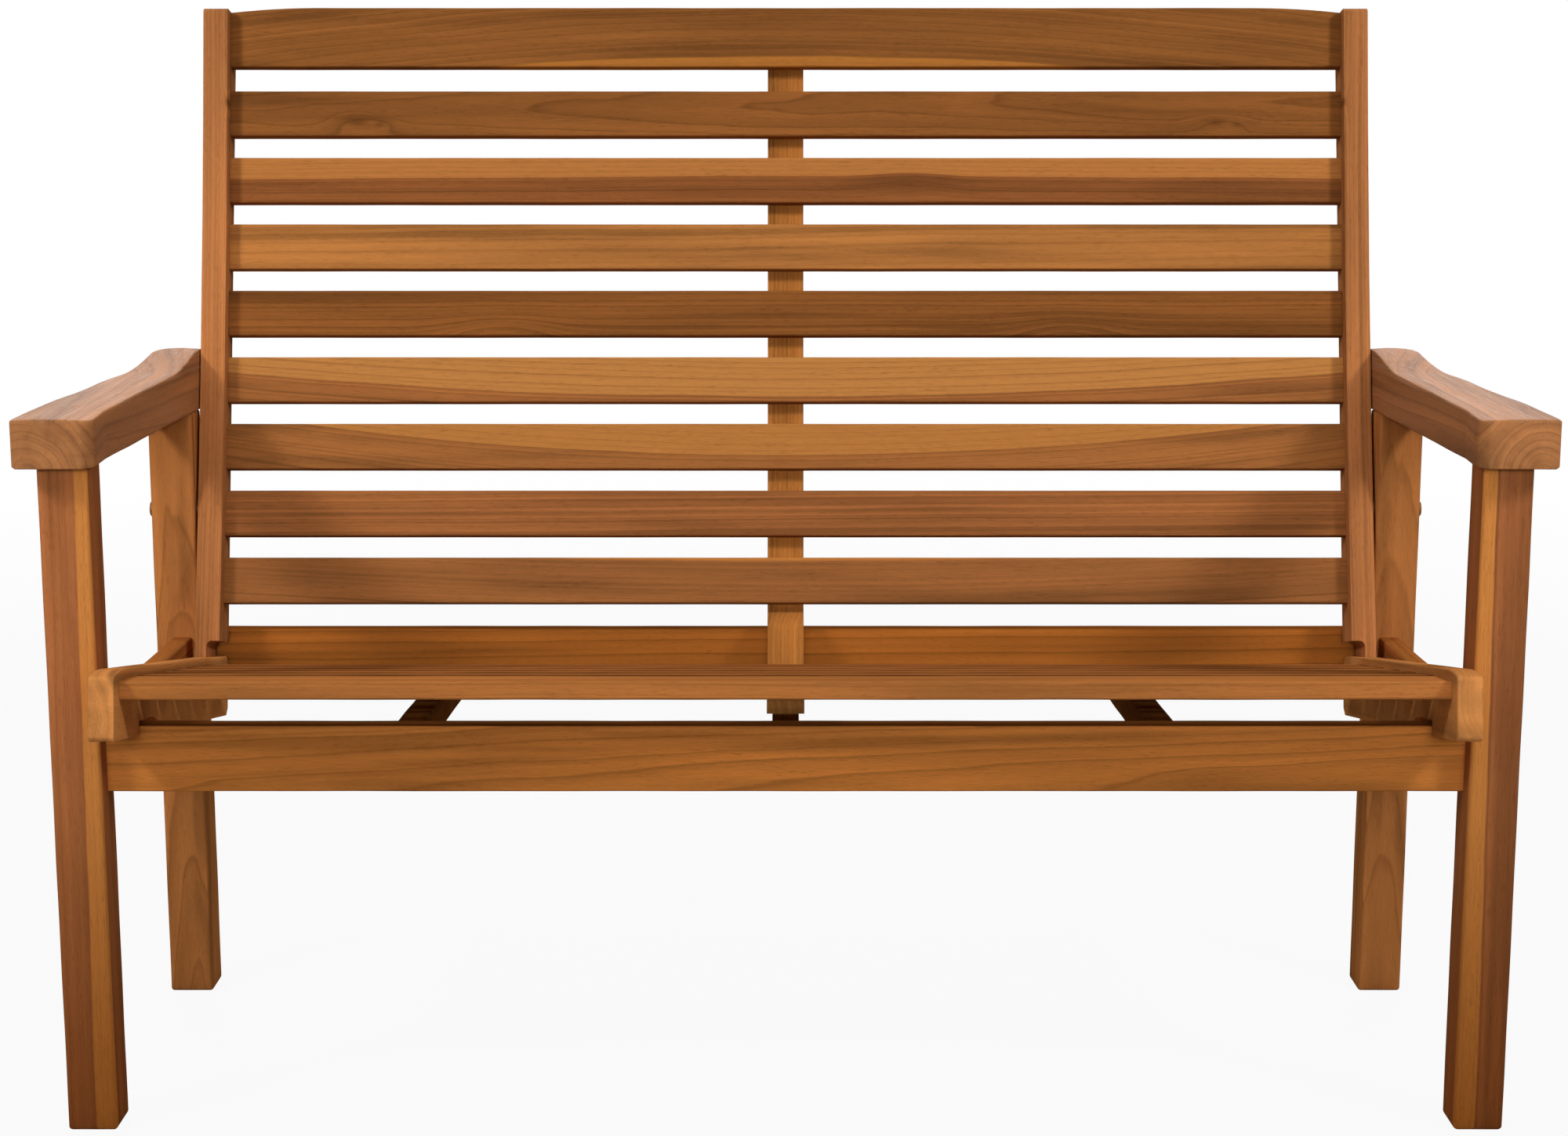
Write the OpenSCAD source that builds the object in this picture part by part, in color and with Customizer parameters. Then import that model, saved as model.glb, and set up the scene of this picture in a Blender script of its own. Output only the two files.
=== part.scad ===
// Two-seat teak garden bench whose back reclines while the slatted seat slides forward.
// X runs along the bench, Y from front to rear, Z up. The bench stands on z = 0, centred in X and Y.

/* [Overall] */
// Width over the armrests
overall_w = 1304; // [1000:2:1600]
// Height of the legs, which is the underside of the armrests
leg_h = 595; // [560:5:640]
// Lean of the upright back, in degrees
back_lean = 13.5; // [11:0.5:15]
// Slope of the seat down to the rear, in degrees
seat_slope = 10.4; // [9:0.2:11.4]
// How far the back reclines from upright, in degrees
recline_range = 15; // [10:1:15]

/* [Legs and armrests] */
// Width of each leg across the bench
leg_w = 43; // [38:1:50]
// Depth of each leg from front to rear
leg_d = 44; // [40:1:50]
// Clear distance between the front and rear legs
leg_clear = 329; // [325:1:345]
// How much wider apart the front legs stand than the rear ones, on each side
front_leg_step = 6; // [4:1:10]
// Width of an armrest
arm_w = 66; // [58:1:80]
// Thickness of an armrest at its front end
arm_t = 42; // [34:1:50]
// How far an armrest stands forward of the front leg
arm_nose = 24; // [15:1:35]
// How far an armrest runs on behind the rear leg
arm_tail = 13; // [6:1:20]
// Depth of the hollow along an armrest's outer edge
arm_waist = 6; // [2:1:9]
// Inward flare of an armrest's inner edge at its front end
arm_flare = 5; // [2:1:7]
// Length of that flare
arm_flare_l = 64; // [50:1:90]
// Radius of an armrest's inner front corner
arm_front_r = 12; // [6:1:16]
// Rise of an armrest's top from its front end to the sweep
arm_rise = 4; // [0:1:8]
// Rise of an armrest's upswept rear end
arm_sweep = 14; // [6:1:20]
// Length of an armrest's upswept rear end
arm_sweep_l = 70; // [50:1:100]
// Radius of an armrest's outer rear corner
arm_corner_r = 30; // [15:1:32]
// Rounding of the armrest's front end and of the leg edges
arris_r = 3; // [1.5:0.5:4]
// Radius of the dowels between the legs and the armrests
dowel_r = 5; // [4:0.5:6]
// Length of those dowels
dowel_l = 50; // [40:1:56]

/* [Rails] */
// Thickness of the front and rear rails
rail_t = 22; // [18:1:26]
// Height of the front rail
front_rail_h = 59; // [50:1:70]
// Top of the front rail above the ground
front_rail_top = 363; // [360:1:366]
// Setback of the front rail behind the faces of the front legs
rail_setback = 22; // [18:1:22]
// Height of the rear rail
rear_rail_h = 72; // [60:1:80]
// Top of the rear rail above the ground
rear_rail_top = 374; // [370:1:380]
// Setback of the rear rail behind the front faces of the rear legs
rear_rail_setback = 19; // [18:1:20]
// Thickness of a side rail
side_rail_t = 20; // [16:1:26]
// Height of a side rail
side_rail_h = 50; // [44:1:56]
// Top of the side rails above the ground
side_rail_top = 370; // [366:1:374]
// Length of a tenon into a leg
leg_tenon_l = 16; // [12:1:20]
// Thickness of a tenon into a leg
leg_tenon_t = 10; // [8:1:12]
// Height of a tenon into a leg
leg_tenon_h = 22; // [16:1:24]
// Shoulder below the tenons of the front and rear rails
cross_tenon_up = 5; // [4:1:8]
// Shoulder above the tenons of the side rails
side_tenon_down = 4; // [3:1:6]
// Width of a bearer under the seat
bearer_w = 25; // [20:1:30]
// Height of a bearer
bearer_h = 28; // [22:1:30]
// Distance of the outer bearers from the middle
bearer_x = 338; // [280:1:400]
// Top of the outer bearers at the front rail
bearer_top = 352; // [348:1:353]
// Drop of the bearers from front to rear
bearer_drop = 20; // [19:1:24]
// How much lower the centre bearer lies than the outer ones
centre_bearer_drop = 17; // [16:1:20]
// Length of a stub tenon on a bearer
bearer_tenon_l = 9; // [6:1:12]
// Shoulder round a bearer's stub tenon
bearer_shoulder = 6; // [5:1:8]

/* [Back] */
// Thickness of a back stile
stile_t = 24; // [23:1:30]
// Depth of a back stile at its ends
stile_d = 45; // [42:1:46]
// Length of a back stile from its shoulder to its top
stile_l = 636; // [600:2:660]
// Depth of the long hollow in a stile's front edge
stile_hollow = 9.5; // [4:0.5:10]
// Radius of a stile's top front corner
stile_top_r = 6; // [3:1:8]
// Number of back slats below the top rail
back_slat_n = 8; // [6:1:8]
// Width of a back slat
back_slat_w = 45.7; // [40:0.1:47]
// Thickness of the back slats and the top rail
back_slat_t = 18; // [16:1:19]
// Centre of the lowest back slat above the stile's shoulder
back_slat_start = 61.8; // [61:0.2:63]
// Gap between the highest back slat and the top rail
top_gap = 24; // [20:0.5:28]
// Setback of the slats behind a stile's front edge
back_slat_setback = 15; // [13:0.5:15]
// Height of the top rail
top_rail_h = 60; // [54:1:62]
// How far the top rail stands above the stiles' ends
top_rail_over = 3; // [0:0.5:6]
// How far the top rail's ends are cut down
top_rail_relief = 6; // [3:1:8]
// Length of the curved cut at each end of the top rail
top_rail_relief_l = 90; // [60:2:140]
// Width of the centre stile
centre_stile_w = 36; // [30:1:44]
// Thickness of the centre stile behind the slats
centre_stile_t = 18; // [16:1:20]
// How far the centre stile reaches below the stile shoulders
centre_stile_foot = 33; // [28:1:36]
// Depth of the centre stile's foot
centre_foot_d = 26; // [22:1:28]
// Length of the scooped step in the centre stile below the last slat
scoop_l = 26; // [20:1:30]

/* [Seat] */
// Thickness of a seat cheek
cheek_t = 22; // [22:1:26]
// Depth of a seat cheek
cheek_h = 60; // [57:1:61]
// Length of a seat cheek forward of its pivot
cheek_fore = 422; // [418:1:430]
// Length of a seat cheek behind its pivot
cheek_aft = 34; // [30:1:35]
// Length of the rounded-down nose on a cheek
nose_l = 40; // [30:1:50]
// Drop of that nose
nose_drop = 6; // [3:1:8]
// Number of seat slats
seat_slat_n = 6; // [5:1:6]
// Rounding of a cheek's nose
cheek_r = 5; // [3:0.5:7]
// Rounding of a cheek's top rear corner
cheek_top_r = 10; // [6:1:14]
// Chamfer of a cheek's bottom rear corner
cheek_chamfer = 7; // [4:1:9]
// Width of a seat slat
seat_slat_w = 46; // [42:1:48]
// Thickness of a seat slat
seat_slat_t = 16; // [15:1:18]
// Distance between the front edges of two seat slats
seat_slat_pitch = 63.8; // [60:0.2:64]
// Setback of the first slat behind the cheek's nose
seat_slat_start = 16.5; // [14:0.5:18]
// Depth of the slats below a cheek's top edge
seat_slat_drop = 6.5; // [5:0.5:8]
// How much flatter the first slat lies than the others, in degrees
front_slat_tip = 3.9; // [2:0.1:5]
// Width of the batten under the seat slats
batten_w = 32; // [26:1:40]
// Thickness of that batten
batten_t = 14; // [12:1:15]
// Reach of the batten forward of the first slat's rear edge
batten_fore = 31; // [28:1:36]
// Chamfer of the batten's front end
batten_chamfer = 5; // [3:0.5:7]

/* [Slat tenons] */
// Length of the tenons on the slats
slat_tenon_l = 9; // [7:1:9]
// Shoulder above and below a slat's tenon
slat_shoulder_w = 8; // [6:1:10]
// Shoulder in front of and behind a slat's tenon
slat_shoulder_t = 4; // [3:0.5:5]
// Rounding of the slats' long edges
slat_edge_r = 2; // [1:0.5:3]
// Glue gap round a tenon, dowel or screw
glue_gap = 0.05; // [0.02:0.01:0.1]

/* [Pivots] */
// Height of the recline pivot above the ground
recline_pivot_z = 497; // [496:1:498]
// Distance from the recline pivot down to the seat pivot
pivot_spacing = 178; // [177:1:179]
// Height of the recline pivot above the stile's shoulder
pivot_rise = 133; // [131:1:134]
// Radius of the recline bolts
recline_bolt_r = 4; // [3:0.5:4]
// Radius of the seat pivot bolts
seat_bolt_r = 3; // [2.5:0.5:3.5]
// Wall of the threaded inserts and sleeve nuts
sleeve_wall = 2; // [1.5:0.5:2.5]
// Radial running clearance of the bolts
bolt_play = 0.05; // [0.02:0.01:0.1]
// Radius of the bolt heads
bolt_head_r = 8; // [7:0.5:10]
// Height of the recline bolts' heads
bolt_head_h = 5; // [4:0.5:6]
// Height of the seat pivot bolts' low heads and of the sleeve nuts' flanges
low_head_h = 2.5; // [2:0.5:3]
// Step round the edge of a bolt head
head_step = 1; // [0.5:0.25:1.5]
// Width across the corners of the hexagon socket in a head
socket_w = 6; // [4:0.5:7]
// Depth of that socket in a recline bolt
socket_deep = 2; // [1.5:0.25:2.5]
// Wood between the end of a threaded insert and the slats' tenons
insert_web = 2; // [1.5:0.5:3]
// Thickness of the spacer washer between a stile and the rear leg
washer_t = 2.5; // [2:0.5:4]
// Radius of that washer
washer_r = 11; // [9:0.5:13]
// Thickness of a stile's tongue beside the cheek
tongue_t = 11; // [9.5:0.5:11.5]
// Gap between the tongue and the halved end of the cheek
lap_play = 0.4; // [0.3:0.1:0.6]
// Gap between the rounded tongue and the shoulder of that halving
lap_gap = 1; // [0.5:0.5:2]
// Gap between a cheek and the rear leg
cheek_play = 2; // [1.5:0.5:3]
// Gap between the cheeks and the front rail
rail_play = 0.3; // [0.25:0.05:0.6]
// Depth of the hollow in the cheek that keeps it clear of the rail on the way
notch_hollow = 2.1; // [2.1:0.1:2.4]
// Spare length of the notch behind the rail when the seat is fully forward
notch_spare = 4; // [3:0.5:6]

/* [Screws] */
// Radius of the wood screws' shanks
screw_r = 2; // [1.5:0.5:2.5]
// Radius of their countersunk heads
screw_head_r = 4; // [3.5:0.5:4.5]
// Wood left beyond the point of a screw
screw_cover = 4; // [3:0.5:6]
// Distance of the batten's screws from the rear edge of each slat
slat_screw_in = 20; // [16:1:24]

/* [Hidden] */
$fn = 32;
// Segments of a circle that is only a shallow arc on the piece
long_arc = 2400;
// Steps along a short curve that is worked out point by point
curve_n = 8;
// Overrun of a cut past the face that it leaves through
over = 1;

// Places across the bench, on the right-hand side
arm_out = overall_w / 2;
arm_in = arm_out - arm_w;
rear_in = arm_in + 1;
front_in = rear_in + front_leg_step;
stile_out = rear_in - washer_t;
stile_in = stile_out - stile_t;
tongue_in = stile_out - tongue_t;
cheek_out = rear_in - cheek_play;
cheek_in = cheek_out - cheek_t;
lap_face = tongue_in - lap_play;
side_rail_in = front_in + 1;
insert_l = stile_t - slat_tenon_l - insert_web;

// Places from front to rear, from the front legs' front faces
rear_leg_y = leg_d + leg_clear;
arm_end = rear_leg_y + leg_d + arm_tail;
arm_l = arm_nose + arm_end;
rail_rear = rail_setback + rail_t;
rear_rail_y = rear_leg_y + rear_rail_setback;
recline_pivot = [rear_leg_y + leg_d / 2, recline_pivot_z];

// A point turned about the bench's X axis, leaning rearwards
function lean(p, a) = [p[0] * cos(a) + p[1] * sin(a), -p[0] * sin(a) + p[1] * cos(a)];

// Foot of the stiles' shoulders, and the seat pivot in the rest pose
back_foot = recline_pivot - lean([stile_d / 2, pivot_rise], back_lean);
seat_pivot = recline_pivot - lean([0, pivot_spacing], back_lean);
tongue_l = pivot_spacing - pivot_rise;

// Arc of the stiles' front edge, which the slats follow
hollow_r = (pow(stile_l / 2, 2) + pow(stile_hollow, 2)) / (2 * stile_hollow);
hollow_w = stile_hollow - hollow_r;
function slat_angle(u) = asin((u - stile_l / 2) / hollow_r);
centre_in_r = hollow_r + back_slat_setback + back_slat_t;
top_rail_at = stile_l + top_rail_over - top_rail_h / 2;
top_rail_low = top_rail_at - top_rail_h / 2;
slat_room = top_rail_low - top_gap - back_slat_w / 2 - back_slat_start;
back_slat_pitch = slat_room / (back_slat_n - 1);

// Seat slats, measured along the cheek from the seat pivot
slat_top = cheek_h / 2 - seat_slat_drop;
function slat_rear(i) = -cheek_fore + seat_slat_start + seat_slat_w + (i - 1) * seat_slat_pitch;
function slat_tip(i) = i == 1 ? front_slat_tip : 0;
batten_end = slat_rear(seat_slat_n);

// Seat pivot and seat slope when the back is fully reclined, with the seat on the rail's rear edge
rail_edge = [rail_rear, front_rail_top];
rest_edge = lean(rail_edge - seat_pivot, -seat_slope);
notch_line = rest_edge[1] + rail_play;
out_pivot = recline_pivot + lean(seat_pivot - recline_pivot, recline_range);
out_arm = rail_edge - out_pivot;
out_slope = 180 - asin(rest_edge[1] / norm(out_arm)) - atan2(out_arm[1], out_arm[0]);
out_edge = lean(out_arm, -out_slope);
notch_end = out_edge[0] + notch_spare;
seat_ratio = -(recline_range + seat_slope - out_slope) / recline_range;
echo(seat_ratio = seat_ratio, out_slope = out_slope, recline_pivot = recline_pivot, seat_pivot = seat_pivot);

// Middle of the bench from front to rear, which is the origin
nose_low = seat_pivot + lean([-cheek_fore + cheek_r, -cheek_h / 2 + cheek_r], seat_slope);
stile_rear = back_foot + lean([stile_d, stile_l], back_lean);
y_mid = (nose_low[0] - cheek_r + stile_rear[0]) / 2;
echo(y_mid = y_mid);

// Wood and metal colours
teak = [0.72, 0.43, 0.20];
light_teak = [0.80, 0.52, 0.27];
dark_teak = [0.60, 0.34, 0.15];
steel = [0.70, 0.70, 0.68];

// Moves a piece drawn from the front legs' faces to the bench's own origin
module place() {
    translate([0, -y_mid, 0]) children();
}

// A shape drawn in the Y-Z plane, carried across the bench from x0 to x1
module across(x0, x1) {
    translate([x0, 0, 0]) rotate([90, 0, 90]) linear_extrude(x1 - x0) children();
}

// A shape drawn in the X-Z plane, carried rearwards from y0 to y1
module rearwards(y0, y1) {
    translate([0, y1, 0]) rotate([90, 0, 0]) linear_extrude(y1 - y0) children();
}

// Flat frame of the back: x rearwards from the front edge, y up from the shoulder
module back_plane() {
    translate(back_foot) rotate(-back_lean) children();
}

// Flat frame of the seat: x rearwards and y up from the seat pivot
module seat_plane() {
    translate(seat_pivot) rotate(-seat_slope) children();
}

// The left-hand piece of a pair
module left() {
    mirror([1, 0, 0]) children();
}

// Rectangle with rounded corners
module eased(w, h, r) {
    translate([r, 0]) square([w - 2 * r, h]);
    translate([0, r]) square([w, h - 2 * r]);
    for (x = [r, w - r], y = [r, h - r]) translate([x, y]) circle(r = r);
}

// Round bar or bore along X
module bar(x0, x1, p, r) {
    translate([x0, p[0], p[1]]) rotate([0, 90, 0]) cylinder(h = x1 - x0, r = r);
}

// Legs
module leg_blank(x, y) {
    foot = arris_r / 2;
    intersection() {
        translate([x, y, 0]) linear_extrude(leg_h) eased(leg_w, leg_d, arris_r);
        rearwards(y, y + leg_d) polygon([[x + foot, 0], [x + leg_w - foot, 0], [x + leg_w, foot],
            [x + leg_w, leg_h], [x, leg_h], [x, foot]]);
        across(x, x + leg_w) polygon([[y + foot, 0], [y + leg_d - foot, 0], [y + leg_d, foot],
            [y + leg_d, leg_h], [y, leg_h], [y, foot]]);
    }
}

// Tenon of a rail that runs across the bench, low in its rail
module cross_tenon(x, y, rail_low, gap) {
    low = rail_low + cross_tenon_up;
    mid = y + rail_t / 2;
    translate([x - gap, mid - leg_tenon_t / 2 - gap, low - gap])
        cube([leg_tenon_l + 2 * gap, leg_tenon_t + 2 * gap, leg_tenon_h + 2 * gap]);
}

// Tenons of a side rail, high in the rail so that they pass over the others
module side_tenons(gap) {
    high = side_rail_top - side_tenon_down;
    mid = side_rail_in + side_rail_t / 2;
    translate([mid - leg_tenon_t / 2 - gap, leg_d - leg_tenon_l - gap, high - leg_tenon_h - gap])
        cube([leg_tenon_t + 2 * gap, leg_clear + 2 * leg_tenon_l + 2 * gap, leg_tenon_h + 2 * gap]);
}

// Dowels from one leg into the armrest
module dowels(x, y, gap) {
    for (s = [-1, 1]) translate([x + leg_w / 2, y + leg_d / 2 + s * leg_d / 4, leg_h - dowel_l / 2 - gap])
        cylinder(h = dowel_l + 2 * gap, r = dowel_r + gap);
}

module front_leg_right() {
    color(teak) place() difference() {
        leg_blank(front_in, 0);
        cross_tenon(front_in, rail_setback, front_rail_top - front_rail_h, glue_gap);
        side_tenons(glue_gap);
        dowels(front_in, 0, glue_gap);
    }
}

module rear_leg_right() {
    color(teak) place() difference() {
        leg_blank(rear_in, rear_leg_y);
        cross_tenon(rear_in, rear_rail_y, rear_rail_top - rear_rail_h, glue_gap);
        side_tenons(glue_gap);
        dowels(rear_in, rear_leg_y, glue_gap);
        bar(rear_in - over, rear_in + leg_w + over, recline_pivot, recline_bolt_r + bolt_play);
    }
}

module arm_dowels() {
    color(light_teak) place() for (s = [0, 1]) mirror([s, 0, 0]) {
        dowels(front_in, 0, 0);
        dowels(rear_in, rear_leg_y, 0);
    }
}

// Plan of an armrest: hollowed outer edge, flared and rounded inner front corner, round outer rear corner
module arm_plan() {
    waist_r = (pow(arm_l / 2, 2) + pow(arm_waist, 2)) / (2 * arm_waist);
    flare_x = arm_in - arm_flare;
    difference() {
        union() {
            translate([arm_in, -arm_nose]) eased(arm_w, arm_l - arm_corner_r, arris_r * 2);
            translate([arm_in, arm_end - 2 * arm_corner_r]) square([arm_w - arm_corner_r, 2 * arm_corner_r]);
            translate([arm_in, arm_flare_l - arm_nose]) square([arm_w, arm_l - arm_corner_r - arm_flare_l]);
            translate([arm_out - arm_corner_r, arm_end - arm_corner_r]) circle(r = arm_corner_r);
            polygon(concat(
                [[arm_in + arm_w / 2, -arm_nose], [arm_in, arm_flare_l - arm_nose]],
                corner([flare_x, arm_front_r - arm_nose] + [arm_front_r, 0], arm_front_r, 180, 270)
            ));
        }
        translate([arm_out - arm_waist + waist_r, arm_l / 2 - arm_nose]) circle(r = waist_r, $fn = long_arc);
    }
}

// Side of an armrest: flat below, eased in front, swept up behind
module arm_side() {
    top = leg_h + arm_t;
    sweep_y = arm_end - arm_sweep_l;
    function sweep(t) = arm_sweep * (3 - 2 * t) * t * t;
    polygon(concat(
        [[-arm_nose + arris_r, leg_h], [-arm_nose, leg_h + arris_r], [-arm_nose, top - 2 * arris_r]],
        [[-arm_nose + arris_r / 2, top - arris_r / 2], [-arm_nose + 2 * arris_r, top]],
        [for (t = [0:1 / curve_n:1]) [sweep_y + t * arm_sweep_l, top + arm_rise + sweep(t)]],
        [[arm_end, leg_h + arris_r], [arm_end - arris_r, leg_h]]
    ));
}

module armrest_right() {
    color(light_teak) place() difference() {
        intersection() {
            linear_extrude(2 * leg_h) arm_plan();
            across(0, overall_w) arm_side();
        }
        dowels(front_in, 0, glue_gap);
        dowels(rear_in, rear_leg_y, glue_gap);
    }
}

// Rails
module side_rail_right() {
    color(teak) place() {
        rearwards(leg_d, leg_d + leg_clear)
            translate([side_rail_in, side_rail_top - side_rail_h]) eased(side_rail_t, side_rail_h, slat_edge_r);
        side_tenons(0);
    }
}

module cross_rail(x, y, top, h) {
    across(-x, x) translate([y, top - h]) eased(rail_t, h, slat_edge_r);
    for (s = [0, 1]) mirror([s, 0, 0]) cross_tenon(x, y, top - h, 0);
}

module front_rail() {
    color(teak) place() difference() {
        cross_rail(front_in, rail_setback, front_rail_top, front_rail_h);
        for (i = [-1:1]) bearer_tenons(i, glue_gap);
    }
}

module rear_rail() {
    color(dark_teak) place() difference() {
        cross_rail(rear_in, rear_rail_y, rear_rail_top, rear_rail_h);
        for (i = [-1:1]) bearer_tenons(i, glue_gap);
    }
}

// Bearers between the rails, numbered -1, 0 and 1 from left to right
function bearer_level(i) = bearer_top - (i == 0 ? centre_bearer_drop : 0);

module bearer_tenons(i, gap) {
    x = i * bearer_x;
    half = bearer_w / 2 - bearer_shoulder;
    h = bearer_h - 2 * bearer_shoulder;
    low = bearer_level(i) - bearer_h + bearer_shoulder;
    across(x - half - gap, x + half + gap) {
        translate([rail_rear - bearer_tenon_l - gap, low - gap])
            square([bearer_tenon_l + gap, h + 2 * gap]);
        translate([rear_rail_y, low - bearer_drop - gap])
            square([bearer_tenon_l + gap, h + 2 * gap]);
    }
}

module bearer(i) {
    x = i * bearer_x;
    top = bearer_level(i);
    color(teak) place() {
        across(x - bearer_w / 2, x + bearer_w / 2)
            polygon([[rail_rear, top], [rail_rear, top - bearer_h],
                [rear_rail_y, top - bearer_h - bearer_drop], [rear_rail_y, top - bearer_drop]]);
        bearer_tenons(i, 0);
    }
}

// Recline bolts: head outside the rear leg, shank through leg and washer into the stile's insert
module hex_socket(x, p, deep) {
    translate([x, p[0], p[1]]) rotate([0, 90, 0])
        cylinder(h = 2 * deep, d = socket_w, center = true, $fn = 6);
}

module recline_bolts() {
    leg_out = rear_in + leg_w;
    color(steel) place() for (s = [0, 1]) mirror([s, 0, 0]) difference() {
        union() {
            bar(stile_out - insert_l + head_step, leg_out, recline_pivot, recline_bolt_r);
            bar(leg_out, leg_out + bolt_head_h - head_step, recline_pivot, bolt_head_r);
            bar(leg_out, leg_out + bolt_head_h, recline_pivot, bolt_head_r - head_step);
        }
        hex_socket(leg_out + bolt_head_h, recline_pivot, socket_deep);
    }
}

module recline_washers() {
    color(steel) place() for (s = [0, 1]) mirror([s, 0, 0]) difference() {
        bar(stile_out, rear_in, recline_pivot, washer_r);
        bar(stile_out - over, rear_in + over, recline_pivot, recline_bolt_r + bolt_play);
    }
}

// Sleeves with threads inside, pressed into the stiles round the recline bolts
module stile_inserts() {
    color(steel) place() for (s = [0, 1]) mirror([s, 0, 0]) difference() {
        bar(stile_out - insert_l, stile_out, recline_pivot, recline_bolt_r + sleeve_wall);
        bar(stile_out - insert_l - over, stile_out + over, recline_pivot, recline_bolt_r + bolt_play);
    }
}

// Side view of a stile with its tongue: long hollow in front, straight behind, half-round foot
module stile_side() {
    difference() {
        union() {
            square([stile_d, stile_l - stile_top_r]);
            translate([stile_top_r, 0]) square([stile_d - stile_top_r, stile_l]);
            translate([stile_top_r, stile_l - stile_top_r]) circle(r = stile_top_r);
            translate([0, -tongue_l]) square([stile_d, tongue_l + over]);
            translate([stile_d / 2, -tongue_l]) circle(r = stile_d / 2);
        }
        translate([hollow_w, stile_l / 2]) circle(r = hollow_r, $fn = long_arc);
    }
}

// Wood cut away beside the tongue, with a fillet under the shoulder
module shoulder_cut() {
    r = tongue_t / 2;
    reach = tongue_l + stile_d;
    translate([0, 0, -over]) linear_extrude(stile_d + 2 * over) {
        translate([stile_in - over, -reach]) square([stile_t - tongue_t - r + over, reach]);
        translate([stile_in - over, -reach]) square([stile_t - tongue_t + over, reach - r]);
        translate([tongue_in - r, -r]) circle(r = r);
    }
}

// One back slat or the top rail, centred u above the shoulder and following the hollow
module back_slat_side(u, h, inset_t, inset_h, gap) {
    translate([hollow_w, stile_l / 2]) rotate(slat_angle(u))
        translate([hollow_r + back_slat_setback + inset_t - gap, -h / 2 + inset_h - gap])
        children();
}

module back_tenon(u, h, gap) {
    tenon_t = back_slat_t - 2 * slat_shoulder_t + 2 * gap;
    tenon_h = h - 2 * slat_shoulder_w + 2 * gap;
    reach = stile_in + slat_tenon_l + gap;
    across(-reach, reach) back_plane() back_slat_side(u, h, slat_shoulder_t, slat_shoulder_w, gap)
        square([tenon_t, tenon_h]);
}

function slat_u(i) = back_slat_start + (back_slat_n - i) * back_slat_pitch;

module back_stile_right() {
    color(teak) place() difference() {
        across(stile_in, stile_out) back_plane() stile_side();
        translate([0, back_foot[0], back_foot[1]]) rotate([90 - back_lean, 0, 0]) mirror([0, 0, 1])
            shoulder_cut();
        for (i = [1:back_slat_n]) back_tenon(slat_u(i), back_slat_w, glue_gap);
        back_tenon(top_rail_at, top_rail_h, glue_gap);
        bar(stile_out - insert_l, stile_out + over, recline_pivot, recline_bolt_r + sleeve_wall);
        bar(tongue_in - over, stile_out + over, seat_pivot, seat_bolt_r + bolt_play);
    }
}

// Screw from the rear face of the centre stile into a slat or rail at height u
module back_screw(u, gap) {
    rear_r = centre_in_r + centre_stile_t;
    translate([0, back_foot[0], back_foot[1]]) rotate([-back_lean, 0, 0])
        translate([0, hollow_w, stile_l / 2]) rotate([slat_angle(u), 0, 0])
        translate([0, rear_r, 0]) rotate([90, 0, 0]) {
            cylinder(h = centre_stile_t + back_slat_t - screw_cover + gap, r = screw_r + gap);
            translate([0, 0, -gap]) cylinder(h = screw_head_r - screw_r + gap, r1 = screw_head_r + gap,
                r2 = screw_r + gap);
        }
}

module back_slat_body(u, h) {
    difference() {
        union() {
            across(-stile_in, stile_in) back_plane() back_slat_side(u, h, 0, 0, 0)
                eased(back_slat_t, h, slat_edge_r);
            back_tenon(u, h, 0);
        }
        back_screw(u, glue_gap);
    }
}

module back_slat(i) {
    color(i % 3 == 0 ? light_teak : teak) place() back_slat_body(slat_u(i), back_slat_w);
}

// Wood above the curved end of the top rail, whose edge falls as the square of the distance
module rail_relief() {
    x = stile_in - top_rail_relief_l;
    reach = top_rail_relief_l + slat_tenon_l + over;
    top = top_rail_low + top_rail_h;
    polygon(concat(
        [for (t = [0:1 / curve_n:1]) [x + t * reach, top - top_rail_relief * t * t]],
        [[x + reach, top + stile_d], [x, top + stile_d]]
    ));
}

module top_rail() {
    color(teak) place() difference() {
        back_slat_body(top_rail_at, top_rail_h);
        for (s = [0, 1]) mirror([s, 0, 0]) translate([0, back_foot[0], back_foot[1]])
            rotate([90 - back_lean, 0, 0]) translate([0, 0, -2 * stile_d]) linear_extrude(3 * stile_d)
            rail_relief();
    }
}

module back_slat_screws() {
    color(steel) place() {
        for (i = [1:back_slat_n]) back_screw(slat_u(i), 0);
        back_screw(top_rail_at, 0);
    }
}

// Point behind the slat at height u: v above the slat's middle and t into the wood of the centre stile
function slat_back(u, v, t) =
    let (a = slat_angle(u))
    [hollow_w, stile_l / 2] + (centre_in_r + t) * [cos(a), sin(a)] + v * [-sin(a), cos(a)];

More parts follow.
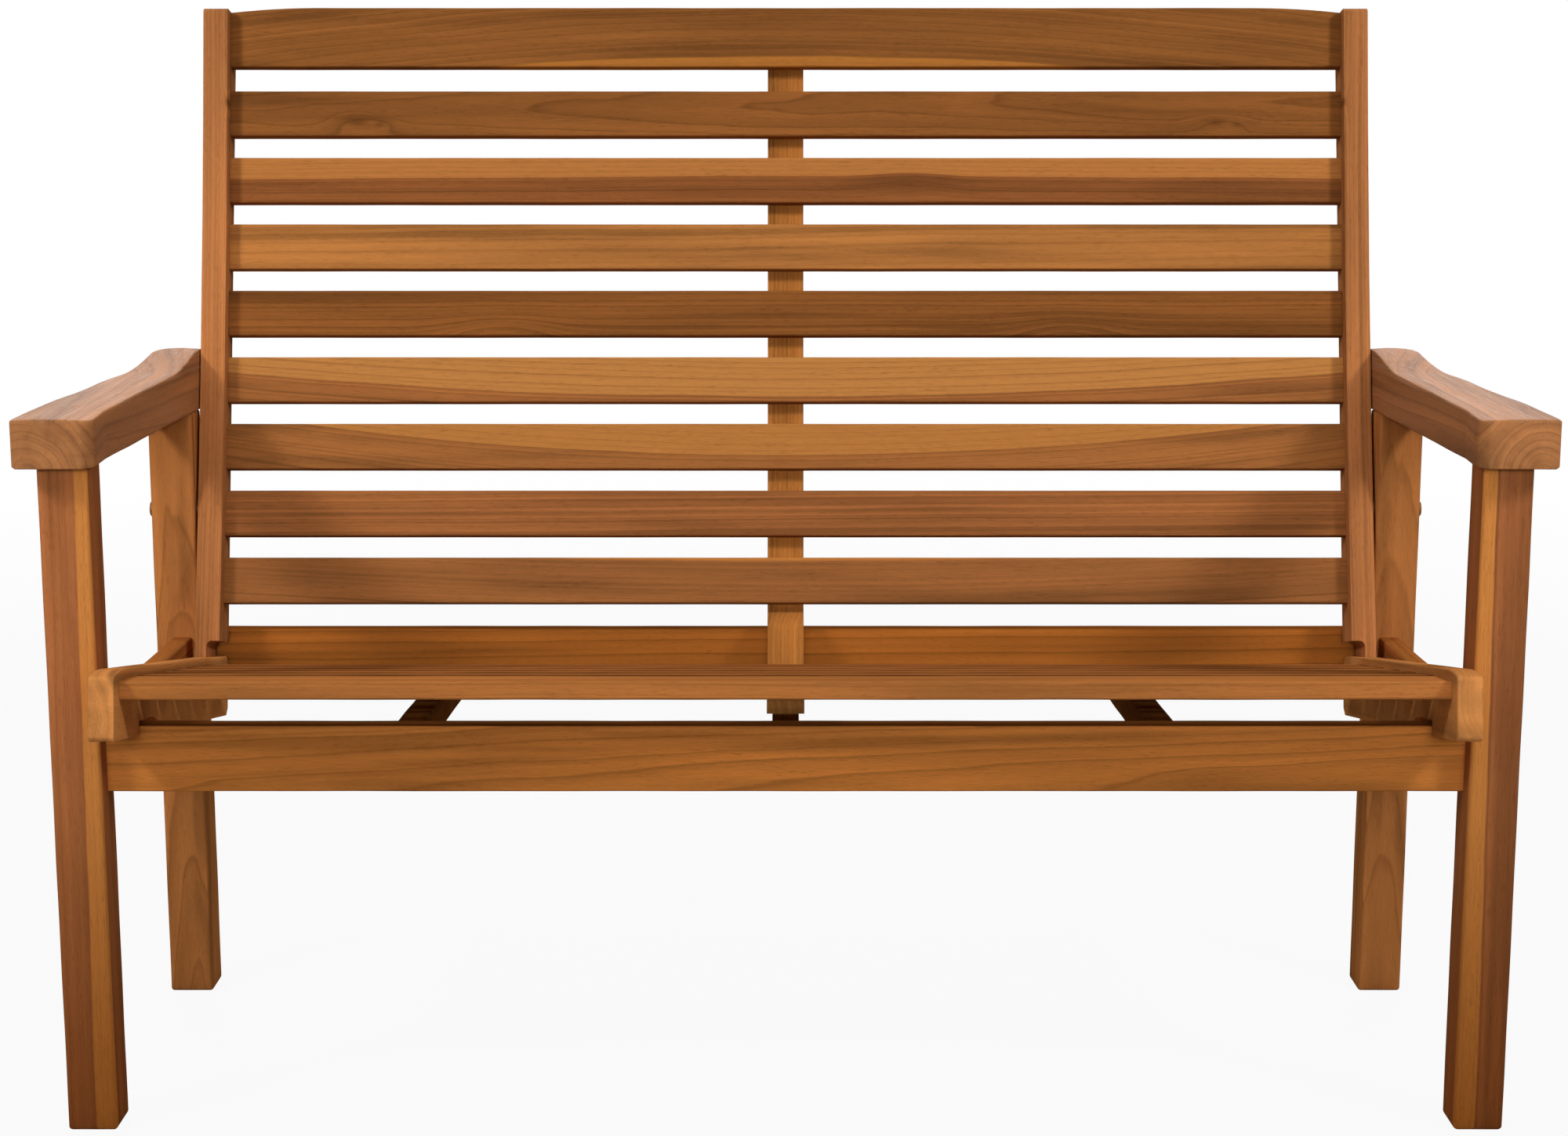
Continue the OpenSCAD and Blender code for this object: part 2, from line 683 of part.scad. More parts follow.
// Side view of the centre stile: a flat seat for each slat, then a scooped step forward below the last one
module centre_stile_side() {
    toe = back_slat_setback;
    heel = toe + centre_foot_d;
    half = back_slat_w / 2;
    last = slat_back(back_slat_start, -half, 0);
    last_rear = slat_back(back_slat_start, -half, centre_stile_t);
    step = 1 / curve_n;
    function scoop(t, from, to) = from + (3 - 2 * t) * t * t * (to - from);
    polygon(concat(
        [[heel, -centre_stile_foot], [toe, -centre_stile_foot]],
        [for (t = [0:step:1 - step]) [scoop(t, toe, last[0]), last[1] - (1 - t) * scoop_l]],
        [for (i = [back_slat_n:-1:1], v = [-half, half]) slat_back(slat_u(i), v, 0)],
        [for (v = [-top_rail_h / 2, 0]) slat_back(top_rail_at, v, 0)],
        [for (v = [0, -top_rail_h / 2]) slat_back(top_rail_at, v, centre_stile_t)],
        [for (i = [1:back_slat_n], v = [half, -half]) slat_back(slat_u(i), v, centre_stile_t)],
        [for (t = [1 - step:-step:0]) [scoop(t, heel, last_rear[0]), last_rear[1] - (1 - t) * scoop_l]]
    ));
}

module centre_stile() {
    color(light_teak) place() difference() {
        across(-centre_stile_w / 2, centre_stile_w / 2) back_plane() centre_stile_side();
        for (i = [1:back_slat_n]) back_screw(slat_u(i), glue_gap);
        back_screw(top_rail_at, glue_gap);
    }
}

// Seat pivot: bolt through the tongue, sleeve nut through the halved end of the cheek
module seat_pivot_bolts() {
    color(steel) place() for (s = [0, 1]) mirror([s, 0, 0]) difference() {
        union() {
            bar(cheek_in + head_step, stile_out, seat_pivot, seat_bolt_r);
            bar(stile_out, stile_out + low_head_h, seat_pivot, bolt_head_r - head_step);
        }
        hex_socket(stile_out + low_head_h, seat_pivot, low_head_h - head_step);
    }
}

module seat_pivot_nuts() {
    color(steel) place() for (s = [0, 1]) mirror([s, 0, 0]) difference() {
        union() {
            bar(cheek_in, lap_face, seat_pivot, seat_bolt_r + sleeve_wall);
            bar(cheek_in - low_head_h, cheek_in, seat_pivot, bolt_head_r);
        }
        bar(cheek_in, lap_face + over, seat_pivot, seat_bolt_r + bolt_play);
        hex_socket(cheek_in - low_head_h, seat_pivot, low_head_h - head_step);
    }
}

// Seat slats: place() of a flat shape at the rear top edge of slat i
module on_slat(i) {
    translate([slat_rear(i), slat_top]) rotate(slat_tip(i)) children();
}

module slat_tenon(i, gap) {
    reach = cheek_in + slat_tenon_l + gap;
    across(-reach, reach) seat_plane() on_slat(i)
        translate([-seat_slat_w + slat_shoulder_w - gap, -seat_slat_t + slat_shoulder_t - gap])
        square([seat_slat_w - 2 * slat_shoulder_w + 2 * gap, seat_slat_t - 2 * slat_shoulder_t + 2 * gap]);
}

// Screw up through the batten into slat i
module batten_screw(i, gap) {
    translate([0, seat_pivot[0], seat_pivot[1]]) rotate([-seat_slope, 0, 0])
        translate([0, slat_rear(i), slat_top]) rotate([slat_tip(i), 0, 0])
        translate([0, -slat_screw_in, -seat_slat_t - batten_t]) {
            cylinder(h = batten_t + seat_slat_t - screw_cover + gap, r = screw_r + gap);
            translate([0, 0, -gap]) cylinder(h = screw_head_r - screw_r + gap, r1 = screw_head_r + gap,
                r2 = screw_r + gap);
        }
}

module seat_slat(i) {
    color(i % 2 == 0 ? light_teak : teak) place() difference() {
        union() {
            across(-cheek_in, cheek_in) seat_plane() on_slat(i)
                translate([-seat_slat_w, -seat_slat_t]) eased(seat_slat_w, seat_slat_t, slat_edge_r);
            slat_tenon(i, 0);
        }
        batten_screw(i, glue_gap);
    }
}

module seat_batten() {
    back = [cos(front_slat_tip), sin(front_slat_tip)];
    down = [sin(front_slat_tip), -cos(front_slat_tip)];
    under = [slat_rear(1), slat_top] + seat_slat_t * down;
    fore = under - batten_fore * back;
    low = slat_top - seat_slat_t;
    color(light_teak) place() difference() {
        across(-batten_w / 2, batten_w / 2) seat_plane() polygon([under, fore,
            fore + (batten_t - batten_chamfer) * down, fore + batten_t * down + batten_chamfer * back,
            [under[0], low - batten_t], [batten_end, low - batten_t], [batten_end, low], [under[0], low]]);
        for (i = [1:seat_slat_n]) batten_screw(i, glue_gap);
    }
}

module batten_screws() {
    color(steel) place() for (i = [1:seat_slat_n]) batten_screw(i, 0);
}

// Points along a round corner, from angle a0 to angle a1
function corner(c, r, a0, a1) =
    [for (k = [0:curve_n]) let (a = a0 + k * (a1 - a0) / curve_n) c + r * [cos(a), sin(a)]];

// Side view of a cheek: nose rounded down, rear end rounded above and chamfered below
module cheek_side() {
    half = cheek_h / 2;
    nose_r = (pow(nose_l, 2) + pow(nose_drop, 2)) / (2 * nose_drop);
    nose_at = [-cheek_fore + nose_l, half - nose_r];
    tip_x = -cheek_fore + cheek_r;
    tip = [tip_x, nose_at[1] + sqrt(pow(nose_r - cheek_r, 2) - pow(tip_x - nose_at[0], 2))];
    tip_angle = atan2(tip[1] - nose_at[1], tip[0] - nose_at[0]);
    polygon(concat(
        corner([tip_x, -half + cheek_r], cheek_r, 270, 180),
        corner(tip, cheek_r, 180, tip_angle),
        corner(nose_at, nose_r, tip_angle, 90),
        corner([cheek_aft - cheek_top_r, half - cheek_top_r], cheek_top_r, 90, 0),
        [[cheek_aft, -half + cheek_chamfer], [cheek_aft - cheek_chamfer, -half]]
    ));
}

// Notch over the front rail: plumb behind the hook, then along the seat, hollowed where the rail passes
module rail_notch() {
    run = notch_end - rest_edge[0];
    hollow = (pow(run / 2, 2) + pow(notch_hollow, 2)) / (2 * notch_hollow);
    seat_plane() {
        translate([rest_edge[0] - rail_t, -cheek_h]) square([run + rail_t, cheek_h + notch_line]);
        intersection() {
            translate([rest_edge[0] + run / 2, notch_line + notch_hollow - hollow])
                circle(r = hollow, $fn = long_arc / 4);
            translate([rest_edge[0], notch_line - over]) square([run, notch_hollow + 2 * over]);
        }
    }
    translate([rail_setback - rail_play, front_rail_top - cheek_h]) square([rail_t, cheek_h + rail_play]);
}

module seat_cheek_right() {
    lap_x = -stile_d / 2 - lap_gap;
    color(light_teak) place() difference() {
        across(cheek_in, cheek_out) difference() {
            seat_plane() cheek_side();
            rail_notch();
        }
        across(lap_face, cheek_out + over) seat_plane()
            translate([lap_x, -cheek_h]) square([2 * cheek_h, 2 * cheek_h]);
        for (i = [1:seat_slat_n]) slat_tenon(i, glue_gap);
        bar(cheek_in - over, lap_face + over, seat_pivot, seat_bolt_r + sleeve_wall);
    }
}

left() front_leg_right();  // front_leg_left
front_leg_right();
left() rear_leg_right();  // rear_leg_left
rear_leg_right();
left() armrest_right();  // armrest_left
armrest_right();
arm_dowels();
left() side_rail_right();  // side_rail_left
side_rail_right();
front_rail();
rear_rail();
bearer(-1);  // bearer_left
bearer(0);  // bearer_centre
bearer(1);  // bearer_right
recline_bolts();
recline_washers();
left() back_stile_right();  // back_stile_left
back_stile_right();
top_rail();
centre_stile();
for (i = [1:back_slat_n]) back_slat(i);
stile_inserts();
back_slat_screws();
seat_pivot_bolts();
left() seat_cheek_right();  // seat_cheek_left
seat_cheek_right();
seat_batten();
for (i = [1:seat_slat_n]) seat_slat(i);
seat_pivot_nuts();
batten_screws();
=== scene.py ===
import bmesh
import bpy
import numpy as np
from mathutils import Matrix, Vector


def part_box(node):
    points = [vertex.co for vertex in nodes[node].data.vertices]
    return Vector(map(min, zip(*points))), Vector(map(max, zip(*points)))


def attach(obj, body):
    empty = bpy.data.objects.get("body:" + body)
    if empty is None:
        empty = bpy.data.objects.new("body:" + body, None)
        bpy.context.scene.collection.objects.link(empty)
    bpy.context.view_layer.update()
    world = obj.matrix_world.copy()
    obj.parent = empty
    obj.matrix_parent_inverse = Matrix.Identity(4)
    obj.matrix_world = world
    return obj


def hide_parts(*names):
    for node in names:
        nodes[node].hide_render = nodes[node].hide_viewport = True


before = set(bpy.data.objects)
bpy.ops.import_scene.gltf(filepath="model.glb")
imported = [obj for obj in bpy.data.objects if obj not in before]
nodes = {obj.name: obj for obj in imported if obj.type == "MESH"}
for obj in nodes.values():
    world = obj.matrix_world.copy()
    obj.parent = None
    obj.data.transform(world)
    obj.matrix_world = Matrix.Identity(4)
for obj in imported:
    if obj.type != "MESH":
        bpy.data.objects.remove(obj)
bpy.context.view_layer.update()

# Studio. The bench stands on a plain pale floor and is seen from the front, a little from above.
# Small soft lamps light it from both sides, in front and behind. Wide ones hang high and low in front of it
# and straight above it. The room sheds little light of its own, though the camera sees it as white.
lens_mm = 60.93
sensor_mm = 36.0
sideways_shift = -0.001
camera_forward = 2.465043
camera_height = 0.903
camera_down_deg = 10.07

eye = bpy.data.cameras.new("front_view")
eye.lens = lens_mm
eye.sensor_width = sensor_mm
eye.shift_x = sideways_shift
camera = bpy.data.objects.new("front_view", eye)
camera.location = (0, -camera_forward, camera_height)
camera.rotation_euler = (np.radians(90 - camera_down_deg), 0, 0)
bpy.context.scene.collection.objects.link(camera)
bpy.context.scene.camera = camera
bpy.context.scene.view_settings.view_transform = "Standard"


def soft_lamp(name, place, aim, width, height, watts, spread_deg):
    """A rectangular lamp at place whose face looks at aim and whose light keeps within the spread."""
    light = bpy.data.lights.new(name, "AREA")
    light.shape = "RECTANGLE"
    light.size = width
    light.size_y = height
    light.energy = watts
    light.spread = np.radians(spread_deg)
    lamp = bpy.data.objects.new(name, light)
    lamp.location = place
    lamp.rotation_euler = (Vector(aim) - Vector(place)).to_track_quat("-Z", "Y").to_euler()
    bpy.context.scene.collection.objects.link(lamp)


for side in (-1, 1):
    soft_lamp("side_softbox", place=(side * 1.9, -1.3, 2.1), aim=(side * 0.45, 0.1, 0.72),
              width=0.4, height=0.4, watts=4.8, spread_deg=66)
    soft_lamp("rear_softbox", place=(side * 1.3, 2.6, 1.9), aim=(side * 0.35, 0.2, 0.6),
              width=0.8, height=0.8, watts=4.2, spread_deg=70)
soft_lamp("high_softbox", place=(0, -2.7, 2.6), aim=(0, 0, 1.2),
          width=2.6, height=1.0, watts=0.4, spread_deg=50)
soft_lamp("low_softbox", place=(0, -3.2, 1.2), aim=(0, -0.2, 0.58),
          width=2.6, height=0.5, watts=3.0, spread_deg=24)
soft_lamp("top_softbox", place=(0, 0.3, 2.8), aim=(0, 0, 0.4),
          width=2.6, height=1.6, watts=5.5, spread_deg=120)


def feed(tree, socket, value):
    """Links another node's output to the socket, or sets the socket to a plain value."""
    if isinstance(value, bpy.types.NodeSocket):
        tree.links.new(value, socket)
    else:
        socket.default_value = value


def sum_node(tree, operation, a, b=None, c=None):
    """One Math node of the tree with its inputs set or linked; gives back its output."""
    made = tree.nodes.new("ShaderNodeMath")
    made.operation = operation
    for socket, value in zip(made.inputs, (a, b, c)):
        if value is not None:
            feed(tree, socket, value)
    return made.outputs[0]


def ramp_node(tree, value, low, high, to_low=0.0, to_high=1.0):
    """Smooth step from to_low, where value is at low, to to_high, where it is at high."""
    made = tree.nodes.new("ShaderNodeMapRange")
    made.interpolation_type = "SMOOTHSTEP"
    for name, given in (("Value", value), ("From Min", low), ("From Max", high),
                        ("To Min", to_low), ("To Max", to_high)):
        feed(tree, made.inputs[name], given)
    return made.outputs[0]


def ray_share(tree, first, *others):
    """1 for a light ray of one of these kinds and 0 for all others: the largest of their outputs."""
    rays = tree.nodes.new("ShaderNodeLightPath").outputs
    share = rays[first]
    for kind in others:
        share = sum_node(tree, "MAXIMUM", share, rays[kind])
    return share


room_glow = 0.15
room = bpy.data.worlds.new("white_room")
bpy.context.scene.world = room
room.use_nodes = True
background = room.node_tree.nodes["Background"]
background.inputs["Color"].default_value = (1, 1, 1, 1)
room_seen = ray_share(room.node_tree, "Is Camera Ray", "Is Glossy Ray", "Is Transmission Ray")
room_level = ramp_node(room.node_tree, room_seen, 0.0, 1.0, room_glow, 1.0)
feed(room.node_tree, background.inputs["Strength"], room_level)

floor_half = 30.0
floor_tone = (0.42, 0.416, 0.412, 1)
white_near = 0.93
white_from = 1.0
white_full = 4.5


def floor_paint():
    """Matt pale paint. The camera sees most of it as plain white, so that the shadow stays faint: the white
    share is white_near round the bench and rises to 1 by a smooth step of the distance from the origin."""
    paint = bpy.data.materials.new("pale_floor")
    paint.use_nodes = True
    tree = paint.node_tree
    matt = tree.nodes["Principled BSDF"]
    matt.inputs["Base Color"].default_value = floor_tone
    matt.inputs["Roughness"].default_value = 0.9
    glow = tree.nodes.new("ShaderNodeEmission")
    glow.inputs["Strength"].default_value = 1.0
    coords = tree.nodes.new("ShaderNodeTexCoord")
    away = tree.nodes.new("ShaderNodeVectorMath")
    away.operation = "LENGTH"
    tree.links.new(coords.outputs["Object"], away.inputs[0])
    white = ramp_node(tree, away.outputs["Value"], white_from, white_full, white_near, 1.0)
    floor_seen = ray_share(tree, "Is Camera Ray", "Is Glossy Ray")
    mix = tree.nodes.new("ShaderNodeMixShader")
    feed(tree, mix.inputs[0], sum_node(tree, "MULTIPLY", floor_seen, white))
    tree.links.new(matt.outputs[0], mix.inputs[1])
    tree.links.new(glow.outputs[0], mix.inputs[2])
    tree.links.new(mix.outputs[0], tree.nodes["Material Output"].inputs["Surface"])
    return paint


floor_mesh = bpy.data.meshes.new("floor")
floor_corners = [(x * floor_half, y * floor_half, 0) for x, y in ((-1, -1), (1, -1), (1, 1), (-1, 1))]
floor_mesh.from_pydata(floor_corners, [], [(0, 1, 2, 3)])
floor = bpy.data.objects.new("floor", floor_mesh)
floor_mesh.materials.append(floor_paint())
bpy.context.scene.collection.objects.link(floor)


# Front legs. Square teak posts with eased arrises, the grain upright and a strip of pale sapwood down
# the inner edge. They carry the armrests on dowels and hold the rails in mortises, and their colour is
# darkened towards the feet with painted shade, for the light that falls off near the floor.
def lie(centre, along, across):
    """How a board lies: a matrix whose columns are the directions of its length, width and thickness, and
    its centre."""
    a, b = Vector(along).normalized(), Vector(across).normalized()
    c = a.cross(b)
    return Matrix(((a[0], b[0], c[0], centre[0]), (a[1], b[1], c[1], centre[1]),
                   (a[2], b[2], c[2], centre[2]), (0, 0, 0, 1)))


def wander(x, seed, lengths, size):
    """A slow wave along x: the mean of one sine for each length, with phases set by the seed."""
    phase = np.random.default_rng(seed).uniform(0, 2 * np.pi, len(lengths))
    turns = 2 * np.pi * np.asarray(x)[..., None] / np.array(lengths)
    return size * np.sin(turns + phase).mean(axis=-1)


def closed_grid(name, points):
    """A mesh from rows of rings, points[row, column, xyz], with a point in the middle of each end. The sum
    of the faces' signed volumes tells whether they point outwards, and turns them round if they don't."""
    rows, columns = points.shape[:2]
    first = np.arange(rows * columns).reshape(rows, columns)
    after = np.roll(first, -1, axis=1)
    sides = np.stack((first[:-1], after[:-1], after[1:], first[1:]), axis=-1).reshape(-1, 4)
    ends = points[[0, -1]].mean(axis=1)
    low, high = rows * columns, rows * columns + 1
    cap = np.concatenate((
        np.stack((after[0], first[0], np.full(columns, low)), axis=-1),
        np.stack((first[-1], after[-1], np.full(columns, high)), axis=-1)))
    verts = np.concatenate((points.reshape(-1, 3), ends))
    a, b, c = verts[sides[:, 0]], verts[sides[:, 1]], verts[sides[:, 2]]
    volume = np.einsum("ij,ij->i", np.cross(b - a, c - a), a - verts.mean(axis=0)).sum()
    if volume < 0:
        sides, cap = sides[:, ::-1], cap[:, ::-1]
    mesh = bpy.data.meshes.new(name)
    mesh.from_pydata(verts.tolist(), [], sides.tolist() + cap.tolist())
    mesh.polygons.foreach_set("use_smooth", np.ones(len(mesh.polygons), bool))
    mesh.update()
    piece = bpy.data.objects.new(name, mesh)
    bpy.context.scene.collection.objects.link(piece)
    return piece


def eased_board(name, where, length, width, thickness, ease, seed, spacing=0.014, shape=None):
    """A board as a closed grid: rows along its length and columns round its section.
    A section is a rectangle with round corners: sign * (half - r) + r * (cos a, sin a), with points on the
    flats between. At each end a quarter circle draws the section in, and shape(l, w, t) may move the points.
    The faces rise and fall by a tenth of a millimetre and the arris radius wanders, as on a sanded board."""
    corner_points, end_rows = 5, 4
    flat_shares = (0.05, 0.3, 0.7, 0.95)
    arris_waves, arris_change = (0.31, 0.113), 0.25
    face_waves, face_rise, face_slant = (0.23, 0.09), 0.00012, 3
    quarter = np.arange(4)[:, None] * np.pi / 2
    angle = quarter + np.linspace(0, np.pi / 2, corner_points)
    sign = np.sign(np.stack((np.cos(quarter + np.pi / 4), np.sin(quarter + np.pi / 4)), axis=-1))
    arc = np.stack((np.cos(angle), np.sin(angle)), axis=-1)
    fall = np.linspace(0, np.pi / 2, end_rows)
    end_l = ease * (1 - np.cos(fall))
    end_in = ease * (1 - np.sin(fall))
    body = np.linspace(ease, length - ease, max(3, int(length / spacing)))[1:-1]
    row_l = np.concatenate(([0], end_l, body, (length - end_l)[::-1], [length])) - length / 2
    draw_in = np.concatenate(([2 * ease], end_in, 0 * body, end_in[::-1], [2 * ease]))[:, None, None]
    radius = ease * (1 + wander(row_l, seed, arris_waves, arris_change))[:, None, None]
    radius = np.maximum(radius - 0.5 * draw_in, 0.2 * ease)
    half = np.array((width, thickness)) / 2 - draw_in
    corner = sign * (half[:, None] - radius[..., None]) + radius[..., None] * arc
    leave, meet = corner[:, :, -1:], np.roll(corner[:, :, :1], -1, axis=1)
    flat = leave + np.array(flat_shares)[:, None] * (meet - leave)
    ring = np.concatenate((corner, flat), axis=2).reshape(len(row_l), -1, 2)
    w, t = ring[..., 0], ring[..., 1]
    l = np.repeat(row_l[:, None], w.shape[1], axis=1)
    t = t + wander(l + face_slant * w, seed + 1, face_waves, face_rise) * np.sign(t)
    if shape:
        l, w, t = shape(l, w, t)
    placed = np.stack((l, w, t, np.ones_like(l)), axis=-1) @ np.array(where).T
    return closed_grid(name, placed[..., :3])


def stretched_noise(tree, place, lengths, detail=2.0, rough=0.5, seed=None):
    """Noise whose blotches are lengths millimetres long in each direction of the board."""
    scaled = tree.nodes.new("ShaderNodeVectorMath")
    scaled.operation = "DIVIDE"
    scaled.inputs[1].default_value = lengths
    tree.links.new(place, scaled.inputs[0])
    noise = tree.nodes.new("ShaderNodeTexNoise")
    noise.noise_dimensions = "4D"
    noise.inputs["Scale"].default_value = 1.0
    noise.inputs["Detail"].default_value = detail
    noise.inputs["Roughness"].default_value = rough
    tree.links.new(scaled.outputs[0], noise.inputs["Vector"])
    if seed is not None:
        tree.links.new(seed, noise.inputs["W"])
    return noise.outputs["Fac"]


def ring_noise(tree, count, scale, detail):
    """Noise that changes from ring to ring only: it follows the count of rings."""
    noise = tree.nodes.new("ShaderNodeTexNoise")
    noise.noise_dimensions = "1D"
    noise.inputs["Scale"].default_value = scale
    noise.inputs["Detail"].default_value = detail
    tree.links.new(count, noise.inputs["W"])
    return noise.outputs["Fac"]


def mix_node(tree, share, a, b, blend="MIX"):
    """Colour mix of a and b by share."""
    made = tree.nodes.new("ShaderNodeMix")
    made.data_type = "RGBA"
    made.blend_type = blend
    for socket, value in ((made.inputs["Factor"], share), (made.inputs[6], a), (made.inputs[7], b)):
        feed(tree, socket, value)
    return made.outputs[2]


def teak_group():
    """The figure of teak in a board. Height is the distance from the tree's pith in millimetres.
    Growth rings are the fractional part of height / ring width, both made uneven by slow noise: each ring
    darkens slowly and ends in a thin dark line. Beyond the sap height the wood is pale. Fibres and pores are
    noise drawn out along the grain, and they make the relief."""
    slow_wave, quick_wave, ring_unevenness = 9.0, 1.6, 1.6
    late_from, line_from, ring_end = 0.35, 0.80, 0.93
    late_mix, late_mix_in_sap = 0.50, 0.30
    broad_share, season_share = 0.65, 0.35
    dark_tones, light_tones = (0.36, 0.52), (0.50, 0.66)
    pore_tones, crowded_tones, fewest_pores = (0.56, 0.70), (0.35, 0.6), 0.35
    fibre_depth, line_depth, pore_depth = 0.42, -0.26, -0.26
    gloss_base, gloss_of_fibre, gloss_of_pore = 0.46, 0.16, 0.12
    relief_of_fibre, relief_of_late = 0.6, 0.25
    tree = bpy.data.node_groups.new("teak_figure", "ShaderNodeTree")
    face = tree.interface
    face.new_socket("Place", in_out="INPUT", socket_type="NodeSocketVector")
    for name in ("Seed", "Height", "Ring", "Figure", "Wave", "Sap height", "Sap blur"):
        face.new_socket(name, in_out="INPUT", socket_type="NodeSocketFloat")
    for name in ("Dark", "Heart", "Light", "Sap"):
        face.new_socket(name, in_out="INPUT", socket_type="NodeSocketColor")
    face.new_socket("Color", in_out="OUTPUT", socket_type="NodeSocketColor")
    face.new_socket("Roughness", in_out="OUTPUT", socket_type="NodeSocketFloat")
    face.new_socket("Relief", in_out="OUTPUT", socket_type="NodeSocketFloat")
    given = tree.nodes.new("NodeGroupInput").outputs
    place, seed, figure = given["Place"], given["Seed"], given["Figure"]

    def add(a, b):
        return sum_node(tree, "ADD", a, b)

    def times(a, b):
        return sum_node(tree, "MULTIPLY", a, b)

    def times_plus(a, b, c):
        return sum_node(tree, "MULTIPLY_ADD", a, b, c)

    def off_middle(noise):
        return sum_node(tree, "SUBTRACT", noise, 0.5)

    slow = stretched_noise(tree, place, (260, 34, 34), detail=1.5, seed=seed)
    quick = stretched_noise(tree, place, (70, 9, 9), seed=seed)
    wave = times_plus(off_middle(quick), quick_wave, times(off_middle(slow), slow_wave))
    bent = times_plus(wave, given["Wave"], given["Height"])
    ring = sum_node(tree, "DIVIDE", bent, given["Ring"])
    ring = times_plus(ring_noise(tree, add(ring, seed), scale=0.45, detail=1.0), ring_unevenness, ring)
    part = sum_node(tree, "FRACT", ring)
    late, line = (times(ramp_node(tree, part, start, ring_end),
                        ramp_node(tree, part, ring_end, 1.0, 1.0, 0.0)) for start in (late_from, line_from))

    season = ring_noise(tree, add(ring, times(seed, 7.0)), scale=0.9, detail=2.0)
    broad = stretched_noise(tree, place, (420, 26, 26), detail=2.5, rough=0.55, seed=add(seed, 3.0))
    tone = add(times(broad, broad_share), times(season, season_share))
    fibre = stretched_noise(tree, place, (24, 1.1, 1.1), detail=3.0, rough=0.65, seed=seed)
    dash = stretched_noise(tree, place, (9, 0.55, 0.55), detail=1.0, seed=seed)
    patch = stretched_noise(tree, place, (60, 5, 5), detail=1.0, seed=add(seed, 9.0))
    crowd = ramp_node(tree, patch, *crowded_tones, fewest_pores, 1.0)
    pore = times(ramp_node(tree, dash, *pore_tones), crowd)

    wood = mix_node(tree, ramp_node(tree, tone, *dark_tones), given["Dark"], given["Heart"])
    wood = mix_node(tree, ramp_node(tree, tone, *light_tones), wood, given["Light"])
    ringed = times(late, figure)
    wood = mix_node(tree, times(ringed, late_mix), wood, given["Dark"])
    sap_height = given["Sap height"]
    sap_share = ramp_node(tree, bent, sap_height, add(sap_height, given["Sap blur"]))
    sap = mix_node(tree, times(ringed, late_mix_in_sap), given["Sap"], given["Heart"])
    wood = mix_node(tree, sap_share, wood, sap)
    shade = times_plus(off_middle(fibre), fibre_depth, 1.0)
    shade = times(shade, times_plus(times(line, figure), line_depth, 1.0))
    shade = times(shade, times_plus(pore, pore_depth, 1.0))
    grey = tree.nodes.new("ShaderNodeCombineColor")
    for socket in grey.inputs:
        tree.links.new(shade, socket)
    wood = mix_node(tree, 1.0, wood, grey.outputs[0], "MULTIPLY")

    relief = sum_node(tree, "SUBTRACT", times(fibre, relief_of_fibre), pore)
    relief = times_plus(late, relief_of_late, relief)
    gloss = times_plus(fibre, gloss_of_fibre, times_plus(pore, gloss_of_pore, gloss_base))
    out = tree.nodes.new("NodeGroupOutput").inputs
    tree.links.new(wood, out["Color"])
    tree.links.new(gloss, out["Roughness"])
    tree.links.new(relief, out["Relief"])
    return tree


teak_figure = teak_group()
# Each board is sawn from another place: its number is the seed of its noise.
sawn_places = iter(range(1, 200))
seed_step = 1.7


def colour(red, green, blue):
    """A colour given as it looks on screen, turned into the linear values that a shader reads."""
    seen_as = np.array((red, green, blue)) / 255
    linear = np.where(seen_as <= 0.04045, seen_as / 12.92, ((seen_as + 0.055) / 1.055) ** 2.4)
    return (*linear.tolist(), 1.0)


wood_tones = (("Dark", 0.82), ("Heart", 1.0), ("Light", 1.1))
sapwood = (190, 122, 56)
knot_colour = (74, 42, 20)
knot_long, knot_wide, knot_core = 3.2, 1.3, 7.0
# Pale grey streaks of painted sheen on the top of a board.
sheen_grey = (196, 176, 160)
sheen_tones, sheen_share, sheen_blur = (0.48, 0.75), 0.38, 5.0
# Painted shade towards the foot of a board, where less light reaches near the floor.
foot_shade_tint = (204, 176, 132)
foot_shade_reach, foot_shade_share = 500.0, 0.75
# Painted shade on the narrow faces of a board.
edge_shade_colour = (46, 24, 10)
edge_shade_blur, edge_shade_share = 1.2, 0.75
relief_mm, relief_strength = 0.4, 0.35
euler_number = 2.718


